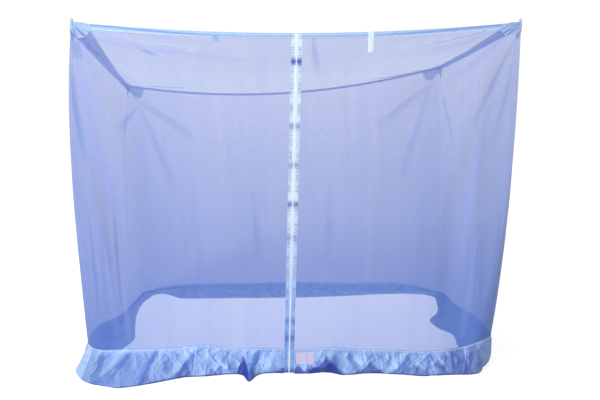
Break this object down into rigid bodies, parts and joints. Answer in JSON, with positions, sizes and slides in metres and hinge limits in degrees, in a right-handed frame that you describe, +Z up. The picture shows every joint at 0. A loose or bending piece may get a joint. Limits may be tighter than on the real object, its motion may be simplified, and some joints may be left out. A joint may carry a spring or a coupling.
{
  "type": "mosquito net canopy",
  "caption": "Rectangular mosquito net canopy hung by its top corners, with a sagging net roof, a zip down the front and a crumpled satin skirt round the foot.",
  "frame": {"origin": "middle of the net's outer box seen from above, on the surface that the skirt lies on", "axes": "+X along the zipped front from left to right as seen from in front, +Y from the zipped front to the back, +Z up"},
  "size_m": [2.0646, 1.665, 1.6243],
  "materials": {
    "wall_net": "fine warp-knit polyester netting, matt, see-through",
    "roof_net": "the same netting, paler where light comes through it",
    "satin_skirt": "crumpled satin-like polyester with a soft sheen",
    "satin_band": "folded satin-like polyester tape with a soft sheen",
    "zip_tape": "woven zip tape, matt, stitched down both edges",
    "zip_coil": "nylon coil, satin",
    "white_tape": "plain white cotton tape, matt",
    "blue_tape": "blue woven tape, matt",
    "bare_label": "bare satin label, matt",
    "tie_cord": "thin braided cord"
  },
  "bodies": {
    "root": {"net_front_left": "wall_net", "net_front_right": "wall_net", "net_right": "wall_net", "net_back": "wall_net", "net_left": "wall_net", "net_roof": "roof_net", "band_front_left": "satin_band", "band_front_right": "satin_band", "band_right": "satin_band", "band_back": "satin_band", "band_left": "satin_band", "skirt_front_left": "satin_skirt", "skirt_front_right": "satin_skirt", "skirt_right": "satin_skirt", "skirt_back": "satin_skirt", "skirt_left": "satin_skirt", "zip_tape_left": "zip_tape", "zip_tape_right": "zip_tape", "zip_coil": "zip_coil", "hang_tape": "white_tape", "blue_tab": "blue_tape", "label": "bare_label", "patch_front_left": "satin_band", "tie_loop_front_left": "tie_cord", "patch_front_right": "satin_band", "tie_loop_front_right": "tie_cord", "patch_back_right": "satin_band", "tie_loop_back_right": "tie_cord", "patch_back_left": "satin_band", "tie_loop_back_left": "tie_cord"}
  },
  "joints": []
}
